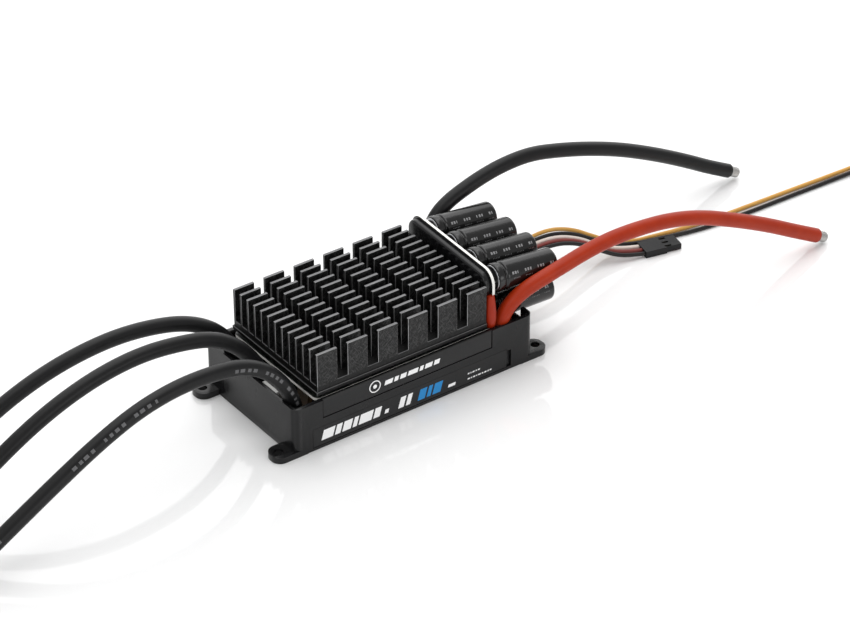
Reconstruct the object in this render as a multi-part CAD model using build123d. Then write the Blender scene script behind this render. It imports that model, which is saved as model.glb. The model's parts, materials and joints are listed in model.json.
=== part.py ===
from build123d import *
import math
import os

# High-voltage electronic speed controller for a brushless motor, in millimetres.
# The origin is the centre of the four foot holes on the underside. +X points to the capacitors
# and the battery leads, -X to the motor leads, +Z up, and the printed long side faces -Y.

# ---- driving dimensions -----------------------------------------------------------------
case_length = 98.1          # along X, without the feet
case_width = 53.8           # along Y
case_height = 18.7
case_corner = 2.8           # radius of the upright corners
case_edge = 0.35            # softened lower edge of the case
floor_thickness = 1.6
side_wall = 1.6
end_wall = 1.2

foot_reach = 56.3           # from the middle to a foot's outer end
foot_width = 8.0
foot_thickness = 2.3
foot_corner = 3.5
foot_hole_radius = 1.6
foot_hole_x = 53.1
foot_hole_y = 22.9

post_x = (-34.0, 26.0)      # the four long case screws
post_y = 20.5
post_radius = 3.4
screw_radius = 1.25
screw_head_radius = 2.3
screw_head_height = 1.3
screw_fit = 0.05            # radial clearance of the screw holes

panel_left, panel_right = -37.8, 31.4       # upper inset panel on each long side
panel_bottom, panel_top = 11.85, 19.0
panel_depth = 0.8
plate_left, plate_right = -42.0, 37.9       # lower label plate on each long side
plate_bottom, plate_top = 1.4, 8.5
plate_depth = 0.35
inset_gap = 0.15            # joint line around both

control_board_z, control_board_thickness = 8.0, 1.6
power_board_z, board_thickness = 17.3, 1.0
power_board_left, power_board_right, power_board_half = -39.0, 33.0, 24.5
mosfet_height, pad_thickness = 0.8, 0.5

sink_left, sink_right, sink_half = -38.4, 30.6, 24.7
flange_half, flange_thickness = 25.1, 1.4
sink_base_top = 23.1
fin_top = 35.4
fin_columns, fin_column_pitch, fin_length = 6, 12.2, 8.0
fin_rows, fin_thickness = 13, 1.0

bank_yaw = -2.5             # the capacitor bank sits slightly askew
bank_x = 34.9               # its upright axis
bank_board_bottom, bank_board_top = 12.2, 39.2
bank_board_shoulder = 30.8  # the board is wider above this height
bank_half_low, bank_half_high = 22.0, 24.3
bank_corner = 5.0
upper_can_radius, upper_can_length, upper_can_pitch = 5.1, 24.5, 12.05
upper_can_z, upper_can_droop = 32.9, 4.5
lower_can_radius, lower_can_length, lower_can_pitch = 5.0, 25.2, 10.05
lower_can_z = 19.6
can_start_upper, can_start_lower = 38.2, 38.5
sleeve_thickness = 0.2
capacitor_lead_radius = 0.35
capacitor_lead_spacing = 5.0

lead_diameter = 5.3         # silicone power leads
solder_gap = 0.6            # between a terminal's top and the leaning end of its lead
tip_radius, tip_length = 1.95, 5.0
wire_diameter = 1.5         # signal and program wires
plug_length, plug_height = 14.3, 2.6
pin_pitch = 2.54

# ---- lead and wire routes, chosen by hand, from the board outwards ----------------------
routes = {
    "motor_lead_front": (lead_diameter, [
        (-43.2, -19.4, 10.6), (-44.6, -19.4, 18.0), (-48.6, -19.4, 26.0), (-54.9, -19.5, 33.5),
        (-63.7, -19.6, 38.7), (-75.0, -19.7, 40.6), (-89.0, -20.2, 41.1), (-104.0, -21.0, 38.9),
        (-119.0, -21.9, 33.6), (-134.0, -22.6, 26.4), (-150.0, -23.4, 18.2), (-165.0, -24.2, 10.3),
        (-178.0, -24.9, 4.6), (-190.0, -25.6, 2.8)]),
    "motor_lead_middle": (lead_diameter, [
        (-43.0, -1.0, 10.6), (-44.4, -1.0, 18.0), (-48.4, -1.0, 25.8), (-54.8, -1.0, 33.5),
        (-63.6, -1.0, 39.3), (-75.0, -1.0, 42.1), (-89.0, -1.1, 43.8), (-104.0, -1.2, 42.5),
        (-119.0, -1.3, 38.5), (-134.0, -1.4, 32.0), (-150.0, -1.5, 22.5), (-165.0, -1.6, 12.9),
        (-178.0, -1.7, 5.6), (-191.0, -1.8, 2.8)]),
    "motor_lead_rear": (lead_diameter, [
        (-42.8, 16.0, 10.6), (-44.2, 16.0, 18.0), (-48.2, 16.0, 25.2), (-54.6, 16.0, 31.4),
        (-63.5, 16.0, 36.3), (-75.0, 16.0, 39.4), (-89.0, 16.0, 41.0), (-104.0, 16.0, 40.0),
        (-119.0, 16.0, 36.8), (-134.0, 16.0, 31.1), (-150.0, 16.0, 22.3), (-165.0, 16.0, 12.9),
        (-178.0, 16.0, 5.6), (-191.0, 16.0, 2.8)]),
    "battery_lead_red": (lead_diameter, [
        (37.1, -22.9, 11.4), (37.4, -23.0, 16.0), (38.7, -23.4, 20.5), (41.0, -24.2, 24.6),
        (44.3, -25.4, 28.0), (48.5, -26.5, 30.5), (54.0, -27.2, 32.2), (61.4, -27.6, 34.1),
        (70.0, -27.9, 36.1), (81.0, -28.0, 37.5), (94.0, -28.0, 37.0), (107.0, -27.9, 35.3),
        (121.0, -28.0, 31.5), (137.0, -28.2, 24.5), (153.0, -28.5, 16.7), (167.0, -28.9, 8.9),
        (176.6, -29.2, 3.9)]),
    "battery_lead_black": (lead_diameter, [
        (39.3, 22.8, 11.4), (39.5, 22.9, 16.2), (40.2, 23.4, 21.0), (41.7, 24.3, 25.6),
        (44.3, 25.3, 29.8), (47.9, 26.1, 33.3), (52.7, 26.4, 36.0), (58.5, 26.4, 38.2),
        (66.5, 26.4, 40.6), (76.0, 26.3, 42.4), (88.0, 26.2, 42.7), (101.0, 26.0, 39.8),
        (115.0, 25.9, 35.6), (130.0, 25.7, 30.0), (146.0, 25.3, 22.5), (160.0, 24.8, 15.1),
        (171.5, 24.2, 8.5), (180.2, 23.7, 4.2)]),
    "signal_wire_white": (wire_diameter, [
        (45.6, 12.0, 11.2), (54.5, 12.0, 11.3), (65.0, 12.0, 12.6), (76.5, 12.1, 15.4),
        (88.0, 12.1, 15.3), (98.4, 11.6, 11.4), (106.4, 10.0, 6.2), (115.0, 7.7, 2.2),
        (123.8, 5.7, 1.3)]),
    "signal_wire_red": (wire_diameter, [
        (45.6, 10.35, 11.2), (54.5, 10.35, 11.3), (65.0, 10.4, 12.6), (76.5, 10.4, 15.2),
        (88.0, 10.4, 14.9), (98.4, 10.0, 10.9), (106.1, 8.2, 5.9), (114.3, 5.4, 2.1),
        (123.3, 3.2, 1.3)]),
    "signal_wire_black": (wire_diameter, [
        (45.6, 8.7, 11.2), (54.5, 8.7, 11.3), (65.0, 8.7, 12.6), (76.5, 8.7, 15.0),
        (88.0, 8.7, 14.5), (98.4, 8.4, 10.4), (105.9, 6.4, 5.5), (113.9, 3.0, 1.9),
        (122.7, 0.8, 1.3)]),
    "program_wire_yellow": (wire_diameter, [
        (45.6, 15.3, 11.2), (54.5, 15.3, 11.3), (65.0, 15.3, 12.6), (76.5, 15.4, 15.9),
        (88.0, 15.4, 16.8), (98.6, 15.2, 13.2), (107.2, 14.0, 7.8), (115.4, 12.2, 3.0),
        (124.2, 10.4, 0.9), (133.2, 8.9, 0.8), (143.0, 6.9, 0.8), (155.0, 5.4, 0.8),
        (172.0, 4.6, 0.8), (192.0, 3.9, 0.8), (213.0, 2.9, 0.8), (232.0, 1.6, 1.3)]),
    "program_wire_black": (wire_diameter, [
        (45.6, 13.65, 11.2), (54.5, 13.65, 11.3), (65.0, 13.7, 12.6), (76.5, 13.7, 15.6),
        (88.0, 13.7, 15.9), (98.6, 13.4, 12.2), (107.0, 12.2, 6.9), (115.2, 10.6, 2.6),
        (124.0, 8.7, 0.9), (133.0, 6.6, 0.8), (143.0, 3.8, 0.8), (155.0, 1.9, 0.8),
        (172.0, 1.1, 0.8), (192.0, 0.7, 0.8), (213.0, 0.0, 0.8), (232.0, -0.9, 1.3)]),
}

os.makedirs("parts", exist_ok=True)


# ---- helpers ----------------------------------------------------------------------------
def save(node, shapes):
    """Write one sub-part; several shapes are kept as separate solids of one group."""
    if isinstance(shapes, (list, tuple)):
        shapes = Compound(children=[solid for shape in shapes for solid in shape.solids()])
    export_step(shapes, f"parts/{node}.step")


def block(x0, x1, y0, y1, z0, z1):
    """Box between two corners."""
    return Pos((x0 + x1) / 2, (y0 + y1) / 2, (z0 + z1) / 2) * Box(x1 - x0, y1 - y0, z1 - z0)


def upright(x, y, radius, z0, z1):
    """Upright cylinder."""
    return Pos(x, y, (z0 + z1) / 2) * Cylinder(radius, z1 - z0)


def slab(x0, x1, y_half, z0, z1, corner):
    """Flat plate with rounded upright corners, centred on Y."""
    outline = RectangleRounded(x1 - x0, 2 * y_half, corner)
    return Pos((x0 + x1) / 2, 0, z0) * extrude(outline, z1 - z0)


def post_places():
    return [(x, y) for x in post_x for y in (-post_y, post_y)]


def corner_radii(points):
    """Largest arcs that the two runs at each corner of a route leave room for."""
    radii = []
    for before, here, after in zip(points, points[1:], points[2:]):
        run_in, run_out = Vector(*here) - Vector(*before), Vector(*after) - Vector(*here)
        turn = math.radians(run_in.get_angle(run_out))
        radii.append(0.45 * min(run_in.length, run_out.length) / math.tan(turn / 2))
    return radii


def cord(node, diameter, points):
    """Round lead or wire along straight runs joined by tangent arcs."""
    radii = corner_radii(points)
    path = FilletPolyline(*points, radius=radii)
    section = Plane(origin=path @ 0, z_dir=path % 0) * Circle(diameter / 2)
    tube = sweep(section, path=path)
    ideal = math.pi * diameter ** 2 / 4 * path.length
    print(f"{node}: length {path.length:.1f}, tightest {min(radii) / diameter:.1f} diameters,"
          f" volume {tube.volume / ideal:.4f} of section x length,"
          f" radii {[round(r, 1) for r in radii]}")
    return tube


def end_plane(points):
    """Plane at a route's far end, facing outwards."""
    return Plane(origin=points[-1], z_dir=Vector(*points[-1]) - Vector(*points[-2]))


# ---- housing ----------------------------------------------------------------------------
def lower_case():
    half_length, half_width = case_length / 2, case_width / 2
    body = slab(-half_length, half_length, half_width, 0, case_height, case_corner)
    body = fillet(body.faces().sort_by(Axis.Z)[0].edges(), case_edge)
    body -= slab(-half_length + end_wall, half_length - end_wall, half_width - side_wall,
                 floor_thickness, case_height + 1, 1.2)
    for side in (-1, 1):
        for end in (-1, 1):
            outline = Pos(end * (foot_reach / 2 + 22), side * (half_width - foot_width / 2)) \
                * Rectangle(foot_reach - 44, foot_width)
            outer = [v for v in outline.vertices() if abs(v.X) > half_length]
            body += extrude(fillet(outer, foot_corner), foot_thickness) \
                - block(-half_length + 3, half_length - 3, -half_width + 3, half_width - 3, 0, 3)
            body -= upright(end * foot_hole_x, side * foot_hole_y, foot_hole_radius, -1, 4)
        face = side * half_width
        panel_inner, plate_inner = face - side * panel_depth, face - side * plate_depth
        body -= block(panel_left - inset_gap, panel_right + inset_gap, min(panel_inner, face + side),
                      max(panel_inner, face + side), panel_bottom - inset_gap, case_height + 1)
        body -= block(plate_left - inset_gap, plate_right, min(plate_inner, face + side),
                      max(plate_inner, face + side), plate_bottom - inset_gap, plate_top + inset_gap)
        slot_inner = face - side * 0.9      # latch slot at the plate's right end
        body -= block(plate_right, plate_right + 1.7, min(slot_inner, face + side),
                      max(slot_inner, face + side), 1.4, 8.0)
    # cut-outs in the right end wall, and room for the battery leads in the side walls
    body -= block(half_length - 3, half_length + 1, -21.2, 21.2, 13.8, case_height + 1)
    body -= block(half_length - 3, half_length + 1, 6.5, 17.2, 9.8, case_height + 1)
    body -= upright(37.6, -23.2, 3.1, 10.0, case_height + 1)
    body -= upright(39.5, 23.1, 3.1, 10.0, case_height + 1)
    for x, y in post_places():
        body += upright(x, y, post_radius, floor_thickness - 0.5, control_board_z)
        body -= upright(x, y, screw_head_radius + 0.15, -1, screw_head_height + 0.4)
        body -= upright(x, y, screw_radius + screw_fit, 0, control_board_z + 1)
    return body


def side_panel(side):
    inner, outer = side * (case_width / 2 - panel_depth + 0.02), side * (case_width / 2 - 0.08)
    panel = block(panel_left, panel_right, min(inner, outer), max(inner, outer), panel_bottom, panel_top)
    face = panel.faces().sort_by(Axis.Y)[0 if side < 0 else -1]
    return chamfer(face.edges(), 0.2)


def label_plate(side):
    inner, outer = side * (case_width / 2 - plate_depth + 0.02), side * (case_width / 2 - 0.04)
    return block(plate_left, plate_right - inset_gap, min(inner, outer), max(inner, outer),
                 plate_bottom, plate_top)


def case_screws():
    screws = []
    for x, y in post_places():
        top = 0.3 + screw_head_height
        head = upright(x, y, screw_head_radius, 0.3, top)
        head -= Pos(x, y, 0.3) * extrude(RegularPolygon(1.15, 6), 0.9)      # hexagon socket
        screws.append(head + upright(x, y, screw_radius, top, sink_base_top - 0.7))
    return screws


# ---- heat sink and power stage ----------------------------------------------------------
def heatsink():
    flange_bottom = power_board_z + board_thickness + mosfet_height + pad_thickness
    body = slab(sink_left - 0.5, sink_right, flange_half, flange_bottom,
                flange_bottom + flange_thickness, 0.6)
    body += block(sink_left, sink_right, -sink_half, sink_half, flange_bottom, sink_base_top)
    row_pitch = (2 * sink_half - fin_thickness) / (fin_rows - 1)
    fins = Sketch()
    for column in range(fin_columns):
        for row in range(fin_rows):
            x = sink_left + fin_length / 2 + column * fin_column_pitch
            y = -sink_half + fin_thickness / 2 + row * row_pitch
            fins += Pos(x, y) * Rectangle(fin_length, fin_thickness)
    body += Pos(0, 0, sink_base_top - 0.2) * extrude(fins, fin_top - sink_base_top + 0.2)
    for x, y in post_places():
        body += upright(x, y, 2.6, power_board_z + board_thickness, flange_bottom + 0.5)
        body -= upright(x, y, screw_radius + screw_fit, power_board_z, sink_base_top - 0.6)
    return body


def power_board():
    board = slab(power_board_left, power_board_right, power_board_half, power_board_z,
                 power_board_z + board_thickness, 2.0)
    for x, y in post_places():
        board -= upright(x, y, screw_radius + screw_fit, power_board_z - 1, power_board_z + 2)
    return board


def power_mosfets():
    bottom = power_board_z + board_thickness
    places = [(-28.5 + 9.2 * column, y) for column in range(6) for y in (-14.4, -4.8, 4.8, 14.4)]
    return [block(x - 2.6, x + 2.6, y - 3, y + 3, bottom, bottom + mosfet_height) for x, y in places]


def thermal_pad():
    bottom = power_board_z + board_thickness + mosfet_height
    return block(-33.5, 23.5, -17.6, 17.6, bottom, bottom + pad_thickness)


# ---- control board ----------------------------------------------------------------------
board_top = control_board_z + control_board_thickness


def control_board():
    board = slab(-47.0, 46.0, 23.0, control_board_z, board_top, 1.5)
    for x, y in post_places():
        board -= upright(x, y, screw_radius + screw_fit, control_board_z - 1, board_top + 1)
    return board


def board_spacers():
    tube = Cylinder(2.6, power_board_z - board_top) \
        - Cylinder(screw_radius + screw_fit, power_board_z)
    return [Pos(x, y, (board_top + power_board_z) / 2) * tube for x, y in post_places()]


def phase_bars():
    """Copper bars that carry each phase from the power stage to its lead."""
    return [block(-38.6, -37.0, y - 3, y + 3, board_top, power_board_z) for y in (-16.0, -1.0, 15.0)]


def supply_bars():
    return [block(29.6, 31.4, y - 4, y + 4, board_top, power_board_z) for y in (-13.0, 13.0)]


def motor_terminals():
    starts = [routes[f"motor_lead_{place}"][1][0] for place in ("front", "middle", "rear")]
    return [block(x - 3.2, x + 3.2, y - 3.2, y + 3.2, board_top, z - solder_gap) for x, y, z in starts]


def battery_terminals():
    blocks = []
    for lead, side in (("battery_lead_red", -1), ("battery_lead_black", 1)):
        x, y, z = routes[lead][1][0]
        inner, outer = side * 16.5, side * 23.0
        top = z - solder_gap
        blocks.append(block(x - 3.0, x + 3.0, min(inner, outer), max(inner, outer), board_top, top))
    return blocks


def signal_header():
    header = block(42.4, 45.6, 7.4, 16.6, board_top, board_top + 2.9)
    return chamfer(header.edges().filter_by(Axis.Y).group_by(Axis.Z)[-1], 0.4)


def chip(x, y, length, width, height):
    body = block(x - length / 2, x + length / 2, y - width / 2, y + width / 2, board_top,
                 board_top + height)
    return chamfer(body.faces().sort_by(Axis.Z)[-1].edges(), 0.15)


def microcontroller():
    return chip(4.0, 0.0, 9.0, 9.0, 1.0)


def gate_drivers():
    return [chip(-22.0, y, 5.0, 5.0, 0.9) for y in (-14.0, 0.0, 14.0)]


def voltage_regulators():
    return [chip(20.0, -6.0, 6.0, 6.0, 2.6), chip(20.0, 5.0, 6.5, 5.0, 1.6)]


def ceramic_capacitors():
    return [chip(x, y, 1.6, 3.2, 1.3) for x in (-14.0, -10.5, -7.0) for y in (-15.0, -9.0, 9.0, 15.0)]


def inspection_label():
    """Small printed tag stuck at the top of the left end wall's inner face."""
    return block(-47.85, -46.7, -14.4, -6.4, 16.9, 18.9)


# ---- capacitor bank, modelled square and then turned by its small yaw --------------------
bank = Pos(bank_x, 0, 0) * Rot(0, 0, bank_yaw) * Pos(-bank_x, 0, 0)
board_left, board_right = bank_x - 0.5, bank_x + 0.5


def bank_outline(inset, bottom):
    """Board outline on the YZ plane: wide shoulders with rounded corners, narrower below."""
    wide, narrow = bank_half_high - inset, bank_half_low - inset
    shoulder, top = bank_board_shoulder, bank_board_top - inset
    upper = Pos(0, (shoulder + top) / 2) * Rectangle(2 * wide, top - shoulder)
    upper = fillet(upper.vertices().group_by(Axis.Y)[-1], bank_corner - inset)
    lower = Pos(0, (bottom + shoulder) / 2) * Rectangle(2 * narrow, shoulder - bottom + 0.5)
    return upper + lower


def capacitor_board():
    outline = bank_outline(0, bank_board_bottom)
    board = extrude(Plane(origin=(board_left, 0, 0), x_dir=(0, 1, 0), z_dir=(1, 0, 0)) * outline, 1.0)
    return bank * board


def capacitor_board_cover():
    outline = bank_outline(0.8, 22.0)
    plane = Plane(origin=(board_left, 0, 0), x_dir=(0, -1, 0), z_dir=(-1, 0, 0))
    cover = extrude(plane * outline, 2.5)
    cover = fillet(cover.faces().sort_by(Axis.X)[0].edges(), 0.9)
    return bank * cover


def can_places():
    """Each capacitor's name, radius, length and the plane at its board end, axis along +Z."""
    places = []
    rows = (("upper", upper_can_radius, upper_can_length, upper_can_pitch, can_start_upper,
             upper_can_z, upper_can_droop),
            ("lower", lower_can_radius, lower_can_length, lower_can_pitch, can_start_lower,
             lower_can_z, 0.0))
    for row, radius, length, pitch, start, height, droop in rows:
        for number in range(4):
            y = (number - 1.5) * pitch
            place = bank * Pos(start, y, height) * Rot(0, 90 + droop, 0)
            places.append((f"capacitor_{row}_{number + 1}", radius, length, place))
    return places


def can_profile(radius, length, start, end, edge):
    """Half section of a can: crimp groove near the board end, rounded far end."""
    points = [(0, start), (radius - 0.5, start), (radius, start + 0.6), (radius, 2.3),
              (radius - 0.55, 2.8), (radius - 0.55, 3.2), (radius, 3.9), (radius, end - edge)]
    wall = Polyline(*points)
    rim = RadiusArc((radius, end - edge), (radius - edge, end), -edge)
    close = Polyline((radius - edge, end), (0, end), (0, start))
    return make_face(Curve() + [wall, rim, close])


def turned(profile):
    """Solid of revolution about Z of a profile drawn on the XZ plane."""
    return revolve(Plane.XZ * profile, Axis.Z)


def sleeve(radius, length):
    outer = turned(can_profile(radius, length, 0.35, length, 1.0))
    inner = turned(can_profile(radius - sleeve_thickness, length, 0.0, length - sleeve_thickness, 0.8))
    opening = Pos(0, 0, length) * Cylinder(radius - 1.6, 2)
    return outer - inner - opening


def can(radius, length):
    wall = radius - sleeve_thickness
    body = turned(can_profile(wall, length, 0.05, length - sleeve_thickness, 0.8))
    body -= Cylinder(wall - 1.0, 4.4)
    score = Box(2 * radius - 4, 0.35, 0.3) + Box(0.35, 2 * radius - 4, 0.3)
    return body - Pos(0, 0, length - sleeve_thickness) * score


def seal(radius):
    bung = Pos(0, 0, 1.15) * Cylinder(radius - sleeve_thickness - 1.0, 2.1)
    for side in (-1, 1):
        bung -= Pos(0, side * capacitor_lead_spacing / 2, 1.15) * Cylinder(capacitor_lead_radius, 4)
    return bung


def capacitor_lead(place, side, gap):
    """Straight wire from the board's face into the rubber seal."""
    start = 0.1 - gap
    wire = Pos(0, side * capacitor_lead_spacing / 2, (start + 2.1) / 2) \
        * Cylinder(capacitor_lead_radius, 2.1 - start)
    return place * wire


# ---- links, plugs and lead ends ---------------------------------------------------------
def link_wire(side):
    """Short insulated wire standing between the power board and the capacitor board's shoulder."""
    return upright(33.0, side * 23.75, 1.45, power_board_z + board_thickness, bank_board_shoulder)


def tinned_tip(points):
    tip = Pos(0, 0, tip_length / 2) * Cylinder(tip_radius, tip_length)
    tip = fillet(tip.faces().sort_by(Axis.Z)[-1].edges(), 1.2)
    return end_plane(points).location * tip


def plug_place(x, y, yaw):
    return Pos(x, y, 0) * Rot(0, 0, yaw)


def pin_offsets(pins):
    return [(number - (pins - 1) / 2) * pin_pitch for number in range(pins)]


def plug_housing(pins):
    """Flat crimp-contact housing lying on its side, entry end at x = 0."""
    width = pins * pin_pitch
    body = block(0, 8.4, -width / 2, width / 2, 0, plug_height)
    body += block(8.3, plug_length, -width / 2 + 0.45, width / 2 - 0.45, 0.15, plug_height - 0.15)
    body = chamfer(body.edges().filter_by(Axis.X), 0.15)
    for y in pin_offsets(pins):
        body -= Pos(2.5, y, plug_height / 2) * Rot(0, 90, 0) * Cylinder(0.92, 7)
        body -= block(5.9, plug_length + 1, y - 0.5, y + 0.5, 0.8, 1.8)
        body -= block(8.0, 10.6, y - 0.5, y + 0.5, 1.7, plug_height + 1)      # window over the contact
    return body


def plug_contacts(pins):
    return [block(2.4, 13.4, y - 0.38, y + 0.38, 0.95, 1.65) for y in pin_offsets(pins)]


# ---- write every sub-part ---------------------------------------------------------------
save("lower_case", lower_case())
for name, side in (("front", -1), ("rear", 1)):
    save(f"side_panel_{name}", side_panel(side))
    save(f"label_plate_{name}", label_plate(side))
save("case_screws", case_screws())
save("heatsink", heatsink())
save("power_board", power_board())
save("power_mosfets", power_mosfets())
save("thermal_pad", thermal_pad())
save("control_board", control_board())
save("board_spacers", board_spacers())
save("phase_bars", phase_bars())
save("supply_bars", supply_bars())
save("motor_terminals", motor_terminals())
save("battery_terminals", battery_terminals())
save("signal_header", signal_header())
save("microcontroller", microcontroller())
save("gate_drivers", gate_drivers())
save("voltage_regulators", voltage_regulators())
save("ceramic_capacitors", ceramic_capacitors())
save("inspection_label", inspection_label())

save("capacitor_board", capacitor_board())
save("capacitor_board_cover", capacitor_board_cover())
cans, seals, capacitor_leads = [], [], []
for name, radius, length, place in can_places():
    save(name, place * sleeve(radius, length))
    cans.append(place * can(radius, length))
    seals.append(place * seal(radius))
    gap = (can_start_upper if "upper" in name else can_start_lower) - board_right
    capacitor_leads += [capacitor_lead(place, side, gap) for side in (-1, 1)]
save("capacitor_cans", cans)
save("capacitor_seals", seals)
save("capacitor_leads", capacitor_leads)
save("positive_link", link_wire(-1))
save("negative_link", link_wire(1))

for name, (diameter, points) in routes.items():
    save(name, cord(name, diameter, points))
    if diameter == lead_diameter:
        save(f"{name}_tip", tinned_tip(points))

signal_plug = plug_place(122.1, 3.5, -12.5)
program_plug = plug_place(231.0, 0.4, -3.6)
save("signal_plug_housing", signal_plug * plug_housing(3))
save("signal_plug_contacts", [signal_plug * contact for contact in plug_contacts(3)])
save("program_plug_housing", program_plug * plug_housing(2))
save("program_plug_contacts", [program_plug * contact for contact in plug_contacts(2)])
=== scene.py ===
import json
import math

import bmesh
import bpy
from mathutils import Matrix, Vector

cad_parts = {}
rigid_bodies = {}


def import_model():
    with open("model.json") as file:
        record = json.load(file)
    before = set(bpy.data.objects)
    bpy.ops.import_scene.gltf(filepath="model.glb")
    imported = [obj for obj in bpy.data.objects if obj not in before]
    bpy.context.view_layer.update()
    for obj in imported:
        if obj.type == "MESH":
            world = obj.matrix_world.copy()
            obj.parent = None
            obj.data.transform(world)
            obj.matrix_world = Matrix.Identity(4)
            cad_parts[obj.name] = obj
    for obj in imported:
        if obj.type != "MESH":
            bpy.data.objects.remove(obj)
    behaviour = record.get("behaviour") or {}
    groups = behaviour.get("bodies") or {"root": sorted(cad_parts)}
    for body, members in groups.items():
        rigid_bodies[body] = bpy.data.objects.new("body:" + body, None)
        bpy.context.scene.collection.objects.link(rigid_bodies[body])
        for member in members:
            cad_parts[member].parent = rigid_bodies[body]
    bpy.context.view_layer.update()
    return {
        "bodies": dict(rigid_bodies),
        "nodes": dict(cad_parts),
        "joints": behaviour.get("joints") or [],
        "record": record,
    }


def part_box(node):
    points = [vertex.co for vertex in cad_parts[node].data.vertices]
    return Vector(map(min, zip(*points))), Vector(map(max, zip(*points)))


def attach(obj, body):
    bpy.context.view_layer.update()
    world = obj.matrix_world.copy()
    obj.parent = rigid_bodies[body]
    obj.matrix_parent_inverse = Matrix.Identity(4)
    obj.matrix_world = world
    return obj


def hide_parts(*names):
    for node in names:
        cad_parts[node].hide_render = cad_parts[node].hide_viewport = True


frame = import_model()
nodes = frame["nodes"]
scene = bpy.context.scene
scene.view_settings.view_transform = "Standard"
print("frame loaded with", len(nodes), "nodes")

mm = 0.001


# camera

cameraView = {
    "turn": -36.156,        # degrees round the upright axis, 0 looks along +Y
    "height": 33.497,       # degrees above the floor
    "roll": -0.09,
    "place": (-0.53201, -0.75964, 0.63548),
    "lens": 139.76,
}


def addCamera(view):
    data = bpy.data.cameras.new("camera")
    data.lens, data.sensor_width = view["lens"], 36
    data.clip_start, data.clip_end = 0.05, 30
    turn, height = math.radians(view["turn"]), math.radians(view["height"])
    back = Vector((math.sin(turn) * math.cos(height), -math.cos(turn) * math.cos(height), math.sin(height)))
    right = Vector((math.cos(turn), math.sin(turn), 0))
    up = back.cross(right)
    facing = Matrix((right, up, back)).transposed().to_4x4()
    camera = bpy.data.objects.new("camera", data)
    camera.matrix_world = Matrix.Translation(view["place"]) @ facing \
        @ Matrix.Rotation(math.radians(view["roll"]), 4, "Z")
    scene.collection.objects.link(camera)
    scene.camera = camera


addCamera(cameraView)
print("camera placed")


# shader maths

class Link:
    # one output socket; Python operators on it add Math nodes
    def __init__(self, tree, socket):
        self.tree, self.socket = tree, socket

    def maths(self, operation, *others, first=None):
        node = self.tree.nodes.new("ShaderNodeMath")
        node.operation = operation
        values = (self,) + others if first is None else (first, self)
        for slot, value in zip(node.inputs, values):
            if isinstance(value, Link):
                self.tree.links.new(value.socket, slot)
            else:
                slot.default_value = value
        return Link(self.tree, node.outputs[0])

    def __add__(self, other):
        return self.maths("ADD", other)

    def __radd__(self, other):
        return self.maths("ADD", first=other)

    def __sub__(self, other):
        return self.maths("SUBTRACT", other)

    def __rsub__(self, other):
        return self.maths("SUBTRACT", first=other)

    def __mul__(self, other):
        return self.maths("MULTIPLY", other)

    def __rmul__(self, other):
        return self.maths("MULTIPLY", first=other)

    def __truediv__(self, other):
        return self.maths("DIVIDE", other)

    def __gt__(self, other):
        return self.maths("GREATER_THAN", other)

    def __lt__(self, other):
        return self.maths("LESS_THAN", other)

    def __abs__(self):
        return self.maths("ABSOLUTE")

    def floor(self):
        return self.maths("FLOOR")

    def most(self, other):
        return self.maths("MAXIMUM", other)

    def least(self, other):
        return self.maths("MINIMUM", other)


class Finish:
    # a material whose fixed values sit on the shader's own sockets
    def __init__(self, name, fixed):
        self.material = bpy.data.materials.new(name)
        self.material.use_nodes = True
        self.tree = self.material.node_tree
        self.shader = next(n for n in self.tree.nodes if n.type == "BSDF_PRINCIPLED")
        for socket, value in fixed.items():
            self.shader.inputs[socket].default_value = value

    def node(self, kind, settings=None, inputs=None, output=0):
        node = self.tree.nodes.new("ShaderNode" + kind)
        for name, value in (settings or {}).items():
            if name == "stops":
                ramp = node.color_ramp
                while len(ramp.elements) < len(value):
                    ramp.elements.new(0.5)
                for element, (place, colour) in zip(ramp.elements, value):
                    element.position, element.color = place, colour
            else:
                setattr(node, name, value)
        for name, value in (inputs or {}).items():
            if isinstance(value, Link):
                self.tree.links.new(value.socket, node.inputs[name])
            else:
                node.inputs[name].default_value = value
        return Link(self.tree, node.outputs[output])

    def coordinates(self, kind="Object"):
        return self.node("TexCoord", output=kind)

    def stretched(self, scale):
        return self.node("Mapping", {}, {"Vector": self.coordinates(), "Scale": scale})

    def drawnOut(self, lengths, turn):
        # turned first, then drawn out along its own axes
        return self.node("Mapping", {"vector_type": "TEXTURE"},
                         {"Vector": self.coordinates(), "Scale": lengths, "Rotation": turn})

    def split(self, vector):
        holder = self.node("SeparateXYZ", {}, {"Vector": vector}).socket.node
        return [Link(self.tree, socket) for socket in holder.outputs]

    def noise(self, scale, detail=3.0, rough=0.55, vector=None):
        place = vector if vector is not None else self.coordinates()
        return self.node("TexNoise", {}, {"Vector": place, "Scale": scale, "Detail": detail,
                                          "Roughness": rough})

    def mixed(self, factor, first, second):
        return self.node("Mix", {"data_type": "RGBA"}, {0: factor, 6: first, 7: second}, output=2)

    def feed(self, socket, link):
        self.tree.links.new(link.socket, self.shader.inputs[socket])

    def bump(self, height, strength, distance):
        bumped = self.node("Bump", {}, {"Height": height, "Strength": strength, "Distance": distance})
        self.feed("Normal", bumped)

    def facing(self):
        # how far each face looks along X, Y and Z
        return [abs(part) for part in self.split(self.node("NewGeometry", output="True Normal"))]


def grey(value, alpha=1.0):
    return (value, value, value, alpha)


# finishes

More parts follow.
